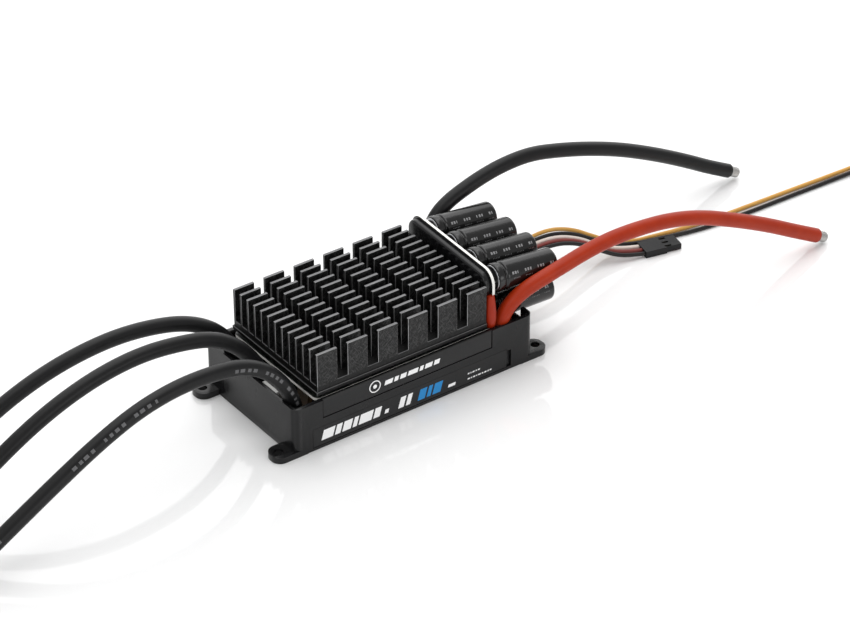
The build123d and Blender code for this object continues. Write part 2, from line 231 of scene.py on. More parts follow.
def mouldedPlastic(name, look):
    f = Finish(name, {"Specular IOR Level": look["specular"]})
    grain = f.noise(2600, 2)
    cloud = f.noise(55, 4)
    wear = f.noise(320, 5, 0.7, f.stretched((1, 1, 0.25)))
    f.feed("Base Color", f.mixed(cloud, (*look["dark"], 1), (*look["light"], 1)))
    f.feed("Roughness", look["rough"] + 0.10 * cloud + 0.10 * (wear > 0.62))
    f.bump(grain + 0.4 * wear, look["grain"], 0.00005)
    return f.material


def anodised(name, look):
    # black anodised aluminium; fin tops and bevelled edges get a paler, more metallic colour, a painted
    # highlight for the sheen they catch from the lamps
    f = Finish(name, {"Specular IOR Level": 0.34})
    alongX, alongY, alongZ = f.facing()
    # the bevelled edges and, below, the fin tops are masked for a painted highlight
    bevel = (0.93 - alongX.most(alongY).most(alongZ)) * 30
    edge = bevel.least(1.0).most(0.0)
    height = f.split(f.coordinates())[2]
    tops = (alongZ > 0.9) * (height > look["topsAbove"])
    hatchA = f.noise(1900, 2, 0.7, f.drawnOut((1, 1, 4.5), (0, math.radians(48), 0)))
    hatchB = f.noise(2300, 2, 0.7, f.drawnOut((1, 1, 3.5), (0, math.radians(-35), 0)))
    grain = ((hatchA.most(hatchB) - 0.50) * 5.5).least(1.0).most(0.0)
    outer = alongY > 0.9
    blotch = f.noise(60, 4)
    face = f.mixed(grain * outer, grey(look["dark"]), grey(look["light"]))
    face = f.mixed(blotch * 0.25, face, grey(look["light"] * 0.3))
    # painted highlight: fin tops and bevelled edges turn paler and more metallic, broken up by streaky noise
    sheenStreaks = f.noise(700, 4, 0.6, f.stretched((0.3, 3, 1)))
    paintedSheen = (tops * (look["tops"] + 0.35 * sheenStreaks)).most(edge * look["edge"] * (0.5 + sheenStreaks))
    f.feed("Base Color", f.mixed(paintedSheen, face, (0.50, 0.50, 0.51, 1)))
    f.feed("Metallic", 0.10 + 0.80 * paintedSheen)
    f.feed("Roughness", look["rough"] - 0.14 * grain - 0.10 * paintedSheen)
    f.bump(grain, 0.5, 0.00006)
    return f.material


def printedDashes(f, along, across, row):
    # a run of small plain dashes of uneven length in groups, sizes in metres
    cell = (along - row["start"]) / row["pitch"]
    index = cell.floor()
    inside = cell - index
    chance = f.node("TexWhiteNoise", {"noise_dimensions": "1D"}, {"W": index + row["seed"]})
    up = abs(across - row["middle"])
    dash = (inside > 0.14) * (inside < 0.48 + 0.38 * chance) * (up < row["height"] / 2)
    group = (index / row["group"] - (index / row["group"]).floor()) < (row["kept"] - 0.5) / row["group"]
    return dash * group * (cell > 0) * (cell < row["count"])


def silicone(name, look, rows=()):
    # soft rubber sheath: satin, slightly dusty, faint lengthwise die lines; UV is round by length in metres
    f = Finish(name, {"Specular IOR Level": look["specular"], "Subsurface Radius": (0.004, 0.001, 0.0006)})
    around, along, _ = f.split(f.coordinates("UV"))
    dust = f.noise(140, 5, 0.65)
    fine = f.noise(1800, 3)
    lines = f.node("TexNoise", {}, {"Vector": f.node("CombineXYZ", {}, {0: around * 60, 1: along * 4}),
                                   "Scale": 1.0, "Detail": 2.0})
    skin = f.mixed(dust, (*look["dark"], 1), (*look["light"], 1))
    rough = look["rough"] + 0.12 * dust + 0.05 * lines
    if rows:
        ink = None
        for row in rows:
            block = printedDashes(f, along, around * look["round"], row)
            ink = block if ink is None else ink.most(block)
        ink = ink * (0.45 + 0.55 * f.noise(3000, 2))
        skin = f.mixed(ink, skin, look["ink"])
    f.feed("Base Color", skin)
    f.feed("Roughness", rough)
    f.bump(fine * 0.5 + lines * 0.5, 0.18, 0.00004)
    return f.material


def shrinkSleeve(name, look):
    # glossy shrunk sleeve: UV is round by length in metres
    f = Finish(name, {"Specular IOR Level": 0.50})
    around, along, _ = f.split(f.coordinates("UV"))
    ripple = f.noise(300, 5, 0.65)
    fine = f.noise(2400, 2)
    across = around * look["round"]
    ink = None
    for row in look["rows"]:
        block = printedDashes(f, along, across, row) * row["strength"]
        ink = block if ink is None else ink.most(block)
    stripe = (abs(across - look["stripe"]) < 0.0016) * (along > 0.0046) * (along < 0.0238)
    skin = f.mixed(ripple, grey(0.002), grey(0.007))
    skin = f.mixed(stripe * 0.5, skin, grey(0.10))
    f.feed("Base Color", f.mixed(ink, skin, (0.42, 0.42, 0.43, 1)))
    f.feed("Roughness", 0.12 + 0.14 * ripple)
    f.bump(ripple + 0.2 * fine, 0.30, 0.00014)
    return f.material


def bareMetal(name, look):
    f = Finish(name, {"Metallic": 1.0})
    cloud = f.noise(look["scale"], 4)
    line = f.noise(900, 3, 0.6, f.stretched(look["stretch"]))
    f.feed("Base Color", f.mixed(cloud, (*look["dark"], 1), (*look["light"], 1)))
    f.feed("Roughness", look["rough"] + 0.18 * line)
    f.bump(line, 0.2, 0.00003)
    return f.material


def circuitBoard(name, look):
    # solder mask on the two faces, pale bare laminate on the cut edge
    f = Finish(name, {"Specular IOR Level": 0.5})
    alongX, alongY, alongZ = f.facing()
    flat = alongX if look["upright"] else alongZ
    edge = 1 - (flat > 0.9)
    weave = f.node("TexChecker", {}, {"Vector": f.coordinates(), "Scale": 1400.0}, output="Fac")
    track = f.node("TexVoronoi", {"feature": "DISTANCE_TO_EDGE"}, {"Vector": f.coordinates(), "Scale": 260.0})
    mask = f.mixed(track < 0.06, (*look["mask"], 1), (*look["copper"], 1))
    pale = f.mixed(0.5 * weave, (0.90, 0.89, 0.86, 1), (0.80, 0.78, 0.73, 1))
    f.feed("Base Color", f.mixed(edge, mask, pale))
    f.feed("Roughness", 0.32 + 0.38 * edge)
    f.bump(track.least(0.08), 0.3, 0.0004)
    return f.material


def plainMoulding(name, look):
    f = Finish(name, {"Specular IOR Level": look.get("specular", 0.5)})
    grain = f.noise(look.get("scale", 1800), 3)
    cloud = f.noise(80, 3)
    f.feed("Base Color", f.mixed(cloud, (*look["dark"], 1), (*look["light"], 1)))
    f.feed("Roughness", look["rough"] + 0.15 * grain)
    f.bump(grain, look.get("grain", 0.3), 0.00006)
    return f.material


def floorPaper():
    f = Finish("floorPaper", {"IOR": 1.60})
    cloud = f.noise(3, 2)
    f.feed("Base Color", f.mixed(cloud, grey(0.90), grey(0.93)))
    f.feed("Roughness", 0.05 + 0.02 * cloud)
    return f.material


leadRound = 5.3 * mm * math.pi      # once round a power lead


def leadMarks(places, seed):
    # the same print comes round again every few centimetres; each place is a start and a turn round the lead
    return [{"start": start * mm, "pitch": 2.55 * mm, "count": 14, "group": 5, "kept": 4,
             "middle": leadRound * turn, "height": 1.2 * mm, "seed": seed + i}
            for i, (start, turn) in enumerate(places)]


def sleeveMarks(middle, seed):
    # a row of short groups with a finer, fainter row below it
    return [{"start": 5.2 * mm, "pitch": 1.05 * mm, "count": 17, "group": 5, "kept": 3, "middle": middle,
             "height": 0.95 * mm, "seed": seed, "strength": 0.62},
            {"start": 5.6 * mm, "pitch": 0.62 * mm, "count": 28, "group": 8, "kept": 5,
             "middle": middle + 1.9 * mm, "height": 0.40 * mm, "seed": seed + 20, "strength": 0.28}]


blackSilicone = {"dark": (0.003, 0.003, 0.0032), "light": (0.009, 0.009, 0.0095), "rough": 0.32,
                 "specular": 0.24, "ink": (0.15, 0.15, 0.155, 1), "round": leadRound}

finishes = {
    "casePlastic": mouldedPlastic("casePlastic", {"dark": (0.003, 0.003, 0.0033),
                                                  "light": (0.007, 0.007, 0.0075),
                                                  "rough": 0.20, "specular": 0.32, "grain": 0.16}),
    "panelPlastic": mouldedPlastic("panelPlastic", {"dark": (0.004, 0.004, 0.0043),
                                                    "light": (0.009, 0.009, 0.0095),
                                                    "rough": 0.28, "specular": 0.33, "grain": 0.2}),
    "labelFilm": mouldedPlastic("labelFilm", {"dark": (0.006, 0.006, 0.0063), "light": (0.011, 0.011, 0.0115),
                                              "rough": 0.32, "specular": 0.32, "grain": 0.12}),
    # edge and tops set the strength of the painted highlight on bevelled edges and fin tops
    "anodisedFins": anodised("anodisedFins", {"dark": 0.0015, "light": 0.052, "rough": 0.50, "edge": 0.80,
                                              "tops": 0.12, "topsAbove": 0.0352}),
    "anodisedBase": anodised("anodisedBase", {"dark": 0.002, "light": 0.010, "rough": 0.48, "edge": 0.25,
                                              "tops": 0.0, "topsAbove": 1.0}),
    "powerBoardGreen": circuitBoard("powerBoardGreen", {"mask": (0.008, 0.010, 0.009),
                                                        "copper": (0.03, 0.035, 0.03), "upright": False}),
    "bankBoardBlack": circuitBoard("bankBoardBlack", {"mask": (0.010, 0.010, 0.010),
                                                      "copper": (0.03, 0.03, 0.03), "upright": True}),
    "chipBlack": plainMoulding("chipBlack", {"dark": (0.018, 0.018, 0.018), "light": (0.03, 0.03, 0.03),
                                             "rough": 0.5}),
    "thermalGrey": plainMoulding("thermalGrey", {"dark": (0.30, 0.33, 0.36), "light": (0.38, 0.41, 0.43),
                                                 "rough": 0.75, "grain": 0.6}),
    "brassPlate": bareMetal("brassPlate", {"dark": (0.62, 0.45, 0.18), "light": (0.75, 0.58, 0.28),
                                           "rough": 0.25, "scale": 60, "stretch": (1, 1, 0.1)}),
    "tinnedCopper": bareMetal("tinnedCopper", {"dark": (0.60, 0.40, 0.26), "light": (0.72, 0.66, 0.6),
                                               "rough": 0.3, "scale": 90, "stretch": (1, 1, 1)}),
    "blackSteel": bareMetal("blackSteel", {"dark": (0.08, 0.08, 0.085), "light": (0.14, 0.14, 0.15),
                                           "rough": 0.3, "scale": 90, "stretch": (1, 1, 1)}),
    "canAluminium": bareMetal("canAluminium", {"dark": (0.66, 0.67, 0.69), "light": (0.80, 0.81, 0.83),
                                               "rough": 0.24, "scale": 120, "stretch": (1, 4, 4)}),
    "tinnedStrands": bareMetal("tinnedStrands", {"dark": (0.30, 0.295, 0.285), "light": (0.60, 0.59, 0.575),
                                                 "rough": 0.26, "scale": 700, "stretch": (1, 1, 1)}),
    "goldContact": bareMetal("goldContact", {"dark": (0.70, 0.52, 0.20), "light": (0.85, 0.66, 0.30),
                                             "rough": 0.22, "scale": 90, "stretch": (1, 1, 1)}),
    "ceramicBrown": plainMoulding("ceramicBrown", {"dark": (0.28, 0.19, 0.11), "light": (0.42, 0.30, 0.19),
                                                   "rough": 0.35}),
    "tagPaper": plainMoulding("tagPaper", {"dark": (0.34, 0.34, 0.33), "light": (0.48, 0.48, 0.47),
                                           "rough": 0.6}),
    "sealRubber": plainMoulding("sealRubber", {"dark": (0.014, 0.014, 0.014), "light": (0.03, 0.03, 0.03),
                                               "rough": 0.6}),
    "plugPlastic": plainMoulding("plugPlastic", {"dark": (0.005, 0.005, 0.0055),
                                                 "light": (0.012, 0.012, 0.013), "rough": 0.36,
                                                 "grain": 0.35, "specular": 0.24}),
    "printWhite": plainMoulding("printWhite", {"dark": (0.90, 0.90, 0.90), "light": (0.97, 0.97, 0.97),
                                               "rough": 0.5, "scale": 4000, "grain": 0.1}),
    "printBlue": plainMoulding("printBlue", {"dark": (0.004, 0.19, 0.50), "light": (0.008, 0.26, 0.62),
                                             "rough": 0.5, "scale": 4000, "grain": 0.1}),
    "frontLead": silicone("frontLead", blackSilicone, leadMarks(((6, 0.43), (70, 0.50), (136, 0.50)), 3)),
    "middleLead": silicone("middleLead", blackSilicone, leadMarks(((40, 0.97), (104, 0.97)), 30)),
    "rearLead": silicone("rearLead", blackSilicone, leadMarks(((52, 0.97), (116, 0.97)), 50)),
    "blackLead": silicone("blackLead", blackSilicone, leadMarks(((34, 0.97), (98, 0.97)), 70)),
    "redLead": silicone("redLead", {"dark": (0.27, 0.013, 0.0012), "light": (0.42, 0.034, 0.0035),
                                    "rough": 0.36, "specular": 0.24, "ink": (0.14, 0.01, 0.003, 1),
                                    "round": leadRound},
                        leadMarks(((34, 0.97), (98, 0.97)), 90)),
    "linkBlack": silicone("linkBlack", blackSilicone),
    "linkRed": silicone("linkRed", {"dark": (0.26, 0.012, 0.0012), "light": (0.38, 0.026, 0.003),
                                    "rough": 0.34, "specular": 0.28, "round": leadRound}),
    "sleeveBlack": shrinkSleeve("sleeveBlack", {
        "round": 32 * mm, "stripe": 12 * mm,
        "rows": sleeveMarks(20.8 * mm, 2) + sleeveMarks(5.6 * mm, 9)}),
}
for colour, dark, light in (("White", (0.60, 0.52, 0.47), (0.74, 0.66, 0.60)),
                            ("Red", (0.16, 0.030, 0.026), (0.26, 0.055, 0.045)),
                            ("Black", (0.005, 0.004, 0.004), (0.012, 0.010, 0.010)),
                            ("Yellow", (0.54, 0.27, 0.055), (0.70, 0.40, 0.10))):
    finishes["wire" + colour] = silicone("wire" + colour, {"dark": dark, "light": light, "rough": 0.36,
                                                           "specular": 0.30, "round": 4.7 * mm})
print("finishes made:", len(finishes))


# mesh helpers

def addObject(name, mesh, *looks):
    piece = bpy.data.objects.new(name, mesh)
    scene.collection.objects.link(piece)
    if len(mesh.materials):
        mesh.materials.clear()
    for look in looks:
        mesh.materials.append(finishes[look])
    return piece


def standFor(piece, slot, *replaced):
    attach(piece, "root")
    if replaced:
        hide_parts(*replaced)


def shadeSmooth(mesh, degrees=30):
    # smooth everywhere except across real edges
    mesh.shade_smooth()
    mesh.set_sharp_from_angle(angle=math.radians(degrees))


def frozen(holder):
    # the evaluated shape as a plain mesh
    bpy.context.view_layer.update()
    graph = bpy.context.evaluated_depsgraph_get()
    return bpy.data.meshes.new_from_object(holder.evaluated_get(graph))


def softened(node, name, look, width, segments=2, degrees=30):
    # a CAD node's own shape with its sharp edges broken
    shape = bmesh.new()
    shape.from_mesh(nodes[node].data)
    bmesh.ops.remove_doubles(shape, verts=shape.verts, dist=1e-6)
    bmesh.ops.dissolve_limit(shape, angle_limit=math.radians(0.5), verts=shape.verts, edges=shape.edges,
                             delimit={"NORMAL"})
    mesh = bpy.data.meshes.new(name)
    shape.to_mesh(mesh)
    shape.free()
    holder = bpy.data.objects.new(name + "Holder", mesh)
    scene.collection.objects.link(holder)
    bevel = holder.modifiers.new("edges", "BEVEL")
    bevel.width, bevel.segments = width, segments
    bevel.limit_method, bevel.angle_limit = "ANGLE", math.radians(degrees)
    bevel.use_clamp_overlap, bevel.harden_normals = True, False
    result = frozen(holder)
    bpy.data.objects.remove(holder)
    result.name = name
    shadeSmooth(result, 35)
    return addObject(name, result, look)


def ringsToMesh(name, rings, rows, closedStart=True, closedEnd=True):
    # rings of equal size joined into a tube; rows holds each ring's length along, for the UV map
    sides = len(rings[0])
    verts = [place for ring in rings for place in ring]
    faces, cells = [], []
    for r in range(len(rings) - 1):
        for s in range(sides):
            t = (s + 1) % sides
            faces.append((r * sides + s, r * sides + t, (r + 1) * sides + t, (r + 1) * sides + s))
            cells.append(((s / sides, rows[r]), ((s + 1) / sides, rows[r]),
                          ((s + 1) / sides, rows[r + 1]), (s / sides, rows[r + 1])))
    for wanted, first, order in ((closedStart, 0, -1), (closedEnd, (len(rings) - 1) * sides, 1)):
        if wanted:
            row = rows[0] if first == 0 else rows[-1]
            faces.append(tuple(first + s for s in range(sides))[::order])
            cells.append(tuple((s / sides, row) for s in range(sides))[::order])
    mesh = bpy.data.meshes.new(name)
    mesh.from_pydata([tuple(v) for v in verts], [], faces)
    layer = mesh.uv_layers.new(name="surface")
    spot = 0
    for cell in cells:
        for uv in cell:
            layer.data[spot].uv = uv
            spot += 1
    mesh.validate()
    shape = bmesh.new()
    shape.from_mesh(mesh)
    bmesh.ops.recalc_face_normals(shape, faces=shape.faces)
    shape.to_mesh(mesh)
    shape.free()
    return mesh


# leads and wires

powerLead = {"thick": 5.3 * mm, "sides": 36}
thinWire = {"thick": 1.5 * mm, "sides": 16}
tip = {"radius": 1.95 * mm, "length": 5.0 * mm, "strands": 15, "dip": 0.19 * mm, "twist": 0.55,
       "rounding": 1.3 * mm}

routes = {
    "motor_lead_front": [
        (-0.0432, -0.0194, 0.0106), (-0.0446, -0.0194, 0.0180), (-0.0486, -0.0194, 0.0260),
        (-0.0549, -0.0195, 0.0335), (-0.0637, -0.0196, 0.0387), (-0.0750, -0.0197, 0.0406),
        (-0.0890, -0.0202, 0.0411), (-0.1040, -0.0210, 0.0389), (-0.1190, -0.0219, 0.0336),
        (-0.1340, -0.0226, 0.0264), (-0.1500, -0.0234, 0.0182), (-0.1650, -0.0242, 0.0103),
        (-0.1780, -0.0249, 0.0046), (-0.1900, -0.0256, 0.0028)],
    "motor_lead_middle": [
        (-0.0430, -0.0010, 0.0106), (-0.0444, -0.0010, 0.0180), (-0.0484, -0.0010, 0.0258),
        (-0.0548, -0.0010, 0.0335), (-0.0636, -0.0010, 0.0393), (-0.0750, -0.0010, 0.0421),
        (-0.0890, -0.0011, 0.0438), (-0.1040, -0.0012, 0.0425), (-0.1190, -0.0013, 0.0385),
        (-0.1340, -0.0014, 0.0320), (-0.1500, -0.0015, 0.0225), (-0.1650, -0.0016, 0.0129),
        (-0.1780, -0.0017, 0.0056), (-0.1910, -0.0018, 0.0028)],
    "motor_lead_rear": [
        (-0.0428, 0.0160, 0.0106), (-0.0442, 0.0160, 0.0180), (-0.0482, 0.0160, 0.0252),
        (-0.0546, 0.0160, 0.0314), (-0.0635, 0.0160, 0.0363), (-0.0750, 0.0160, 0.0394),
        (-0.0890, 0.0160, 0.0410), (-0.1040, 0.0160, 0.0400), (-0.1190, 0.0160, 0.0368),
        (-0.1340, 0.0160, 0.0311), (-0.1500, 0.0160, 0.0223), (-0.1650, 0.0160, 0.0129),
        (-0.1780, 0.0160, 0.0056), (-0.1910, 0.0160, 0.0028)],
    "battery_lead_red": [
        (0.0371, -0.0229, 0.0114), (0.0374, -0.0230, 0.0160), (0.0387, -0.0234, 0.0205),
        (0.0410, -0.0242, 0.0246), (0.0443, -0.0254, 0.0280), (0.0485, -0.0265, 0.0305),
        (0.0540, -0.0272, 0.0322), (0.0614, -0.0276, 0.0341), (0.0700, -0.0279, 0.0361),
        (0.0810, -0.0280, 0.0375), (0.0940, -0.0280, 0.0370), (0.1070, -0.0279, 0.0353),
        (0.1210, -0.0280, 0.0315), (0.1370, -0.0282, 0.0245), (0.1530, -0.0285, 0.0167),
        (0.1670, -0.0289, 0.0089), (0.1766, -0.0292, 0.0039)],
    "battery_lead_black": [
        (0.0393, 0.0228, 0.0114), (0.0395, 0.0229, 0.0162), (0.0402, 0.0234, 0.0210),
        (0.0417, 0.0243, 0.0256), (0.0443, 0.0253, 0.0298), (0.0479, 0.0261, 0.0333),
        (0.0527, 0.0264, 0.0360), (0.0585, 0.0264, 0.0382), (0.0665, 0.0264, 0.0406),
        (0.0760, 0.0263, 0.0424), (0.0880, 0.0262, 0.0427), (0.1010, 0.0260, 0.0398),
        (0.1150, 0.0259, 0.0356), (0.1300, 0.0257, 0.0300), (0.1460, 0.0253, 0.0225),
        (0.1600, 0.0248, 0.0151), (0.1715, 0.0242, 0.0085), (0.1802, 0.0237, 0.0042)],
    "signal_wire_white": [
        (0.0456, 0.0120, 0.0112), (0.0545, 0.0120, 0.0113), (0.0650, 0.0120, 0.0126),
        (0.0765, 0.0121, 0.0154), (0.0880, 0.0121, 0.0153), (0.0984, 0.0116, 0.0114),
        (0.1064, 0.0100, 0.0062), (0.1150, 0.0077, 0.0022), (0.1238, 0.0057, 0.0013)],
    "signal_wire_red": [
        (0.0456, 0.01035, 0.0112), (0.0545, 0.01035, 0.0113), (0.0650, 0.0104, 0.0126),
        (0.0765, 0.0104, 0.0152), (0.0880, 0.0104, 0.0149), (0.0984, 0.0100, 0.0109),
        (0.1061, 0.0082, 0.0059), (0.1143, 0.0054, 0.0021), (0.1233, 0.0032, 0.0013)],
    "signal_wire_black": [
        (0.0456, 0.0087, 0.0112), (0.0545, 0.0087, 0.0113), (0.0650, 0.0087, 0.0126),
        (0.0765, 0.0087, 0.0150), (0.0880, 0.0087, 0.0145), (0.0984, 0.0084, 0.0104),
        (0.1059, 0.0064, 0.0055), (0.1139, 0.0030, 0.0019), (0.1227, 0.0008, 0.0013)],
    "program_wire_yellow": [
        (0.0456, 0.0153, 0.0112), (0.0545, 0.0153, 0.0113), (0.0650, 0.0153, 0.0126),
        (0.0765, 0.0154, 0.0159), (0.0880, 0.0154, 0.0168), (0.0986, 0.0152, 0.0132),
        (0.1072, 0.0140, 0.0078), (0.1154, 0.0122, 0.0030), (0.1242, 0.0104, 0.0009),
        (0.1332, 0.0089, 0.0008), (0.1430, 0.0069, 0.0008), (0.1550, 0.0054, 0.0008),
        (0.1720, 0.0046, 0.0008), (0.1920, 0.0039, 0.0008), (0.2130, 0.0029, 0.0008),
        (0.2320, 0.0016, 0.0013)],
    "program_wire_black": [
        (0.0456, 0.01365, 0.0112), (0.0545, 0.01365, 0.0113), (0.0650, 0.0137, 0.0126),
        (0.0765, 0.0137, 0.0156), (0.0880, 0.0137, 0.0159), (0.0986, 0.0134, 0.0122),
        (0.1070, 0.0122, 0.0069), (0.1152, 0.0106, 0.0026), (0.1240, 0.0087, 0.0009),
        (0.1330, 0.0066, 0.0008), (0.1430, 0.0038, 0.0008), (0.1550, 0.0019, 0.0008),
        (0.1720, 0.0011, 0.0008), (0.1920, 0.0007, 0.0008), (0.2130, 0.0000, 0.0008),
        (0.2320, -0.0009, 0.0013)],
}


def smoothLine(name, route):
    # the route as one smooth curve, read back as points
    curve = bpy.data.curves.new(name, "CURVE")
    curve.dimensions = "3D"
    spline = curve.splines.new("NURBS")
    spline.points.add(len(route) - 1)
    for control, place in zip(spline.points, route):
        control.co = (*place, 1)
    spline.order_u = 3
    spline.use_endpoint_u = True
    curve.resolution_u = 12
    holder = bpy.data.objects.new(name, curve)
    scene.collection.objects.link(holder)
    mesh = frozen(holder)
    line = [v.co.copy() for v in mesh.vertices]
    bpy.data.objects.remove(holder)
    bpy.data.meshes.remove(mesh)
    return [line[0]] + [b for a, b in zip(line, line[1:]) if (b - a).length > 1e-7]


def carriedFrames(line, side):
    # a tangent and two normals at each point, carried along without twist; the seam is opposite side
    tangents = []
    for i in range(len(line)):
        tangents.append((line[min(i + 1, len(line) - 1)] - line[max(i - 1, 0)]).normalized())
    middle = tangents[len(line) // 2]
    normal = (side - middle * side.dot(middle)).normalized()
    frames = [None] * len(line)
    for steps in (range(len(line) // 2, len(line)), range(len(line) // 2, -1, -1)):
        current = normal
        for i in steps:
            current = (current - tangents[i] * current.dot(tangents[i])).normalized()
            frames[i] = (tangents[i], current, tangents[i].cross(current))
    return frames


def sweptRing(centre, frame, radius, sides, bumps=None):
    tangent, normal, across = frame
    ring = []
    for s in range(sides):
        angle = 2 * math.pi * s / sides - math.pi
        r = radius if bumps is None else radius - bumps(angle)
        ring.append(centre + normal * (r * math.cos(angle)) + across * (r * math.sin(angle)))
    return ring


def lineLengths(line):
    lengths = [0.0]
    for a, b in zip(line, line[1:]):
        lengths.append(lengths[-1] + (b - a).length)
    return lengths


def sweptTube(name, line, radius, sides, side, look):
    # round tube whose two ends are slightly rounded over
    frames, lengths = carriedFrames(line, side), lineLengths(line)
    rings, rows = [], []
    nose = 0.12 * radius
    for centre, carried, length in zip(line, frames, lengths):
        fromEnd = min(length, lengths[-1] - length)
        if 0 < fromEnd < 2 * nose:
            continue
        end = fromEnd == 0
        if end and length > 0:
            for back, shrink in ((nose, 1.0), (nose * 0.35, 0.965)):
                rings.append(sweptRing(centre - carried[0] * back, carried, radius * shrink, sides))
                rows.append(length - back)
        rings.append(sweptRing(centre, carried, radius * (0.9 if end else 1.0), sides))
        rows.append(length)
        if end and length == 0:
            for ahead, shrink in ((nose * 0.35, 0.965), (nose, 1.0)):
                rings.append(sweptRing(centre + carried[0] * ahead, carried, radius * shrink, sides))
                rows.append(ahead)
    mesh = ringsToMesh(name, rings, rows)
    shadeSmooth(mesh, 50)
    return addObject(name, mesh, look), lengths[-1], frames[-1]


def twistedTip(name, end, carried, tip):
    # tinned end of the stripped conductor: a bundle of strands with the twist still showing
    tangent, normal, across = carried
    rings, rows = [], []
    steps = 22
    for i in range(steps + 1):
        along = (i / steps) * tip["length"]
        left = tip["length"] - along
        shrink = 1.0
        if left < tip["rounding"]:
            shrink = math.sqrt(max(0.04, 1 - (1 - left / tip["rounding"]) ** 2))
        turn = tip["twist"] * along / tip["radius"]

        def dips(angle, turn=turn, shrink=shrink):
            groove = abs(math.sin(tip["strands"] * (angle + turn) / 2))
            return tip["dip"] * shrink * (1 - groove) ** 1.2
        rings.append(sweptRing(end + tangent * along, carried, tip["radius"] * shrink,
                               6 * tip["strands"], dips))
        rows.append(along)
    mesh = ringsToMesh(name, rings, rows)
    shadeSmooth(mesh, 60)
    piece = addObject(name, mesh, "tinnedStrands")
    standFor(piece, "tinned_strand", name[:-len("Strands")])
    return piece


printSide = Vector((-0.45, -0.62, 0.30))    # the printed side of a lead faces forward

leadLooks = {"motor_lead_front": "frontLead", "motor_lead_middle": "middleLead",
             "motor_lead_rear": "rearLead", "battery_lead_red": "redLead", "battery_lead_black": "blackLead"}
for node, look in leadLooks.items():
    line = smoothLine(node, routes[node])
    piece, length, carried = sweptTube(node + "_sheath", line, powerLead["thick"] / 2, powerLead["sides"],
                                       printSide, look)
    strands = twistedTip(node + "_tipStrands", line[-1], carried, tip)
    standFor(piece, "silicone_red" if look == "redLead" else "silicone_black", node)

wireLooks = {"signal_wire_white": "White", "signal_wire_red": "Red", "signal_wire_black": "Black",
             "program_wire_yellow": "Yellow", "program_wire_black": "Black"}
for node, colour in wireLooks.items():
    line = smoothLine(node, routes[node])
    piece, length, carried = sweptTube(node + "_sheath", line, thinWire["thick"] / 2, thinWire["sides"],
                                       printSide, "wire" + colour)
    standFor(piece, "wire_" + colour.lower(), node)
    plug = node.split("_")[0] + "_plug_"
    nodes[plug + "housing"]
    nodes[plug + "contacts"]
print("leads and wires laid:", len(routes))


# housing

edges = {"case": 0.22 * mm, "panel": 0.12 * mm, "plate": 0.04 * mm, "board": 0.06 * mm, "plug": 0.12 * mm}

standFor(softened("lower_case", "case_tray", "casePlastic", edges["case"], 3), "case_plastic", "lower_case")
for side in ("front", "rear"):
    standFor(softened("side_panel_" + side, f"inset_panel_{side}", "panelPlastic", edges["panel"], 2),
             "panel_plastic", "side_panel_" + side)
    standFor(softened("label_plate_" + side, f"plate_{side}", "labelFilm", edges["plate"], 1),
             "label_film", "label_plate_" + side)
standFor(softened("capacitor_board_cover", "bank_cover", "casePlastic", edges["panel"], 2),
         "case_plastic", "capacitor_board_cover")
standFor(softened("case_screws", "recessed_screws", "blackSteel", edges["plate"], 1, 40),
         "screw_steel", "case_screws")
print("housing softened")


# heat sink

sink = {"columns": 6, "columnPitch": 12.2 * mm, "finLength": 8.0 * mm, "rows": 13, "finThick": 1.0 * mm,
        "finHigh": 12.3 * mm, "root": 0.3 * mm, "flange": 1.4 * mm, "baseInset": 0.4 * mm, "edge": 0.11 * mm,
        "foot": 1.3 * mm, "lean": 0.006, "endInset": 0.5 * mm, "overlap": 0.2 * mm, "baseEdge": 0.16 * mm}


def bevelledBlock(name, low, high, edge):
    shape = bmesh.new()
    bmesh.ops.create_cube(shape, size=1)
    for v in shape.verts:
        v.co = Vector([(a + b) / 2 + c * (b - a) for a, b, c in zip(low, high, v.co)])
    bmesh.ops.bevel(shape, geom=shape.edges, offset=edge, segments=1, profile=0.5, affect="EDGES")
    mesh = bpy.data.meshes.new(name)
    shape.to_mesh(mesh)
    shape.free()
    return mesh


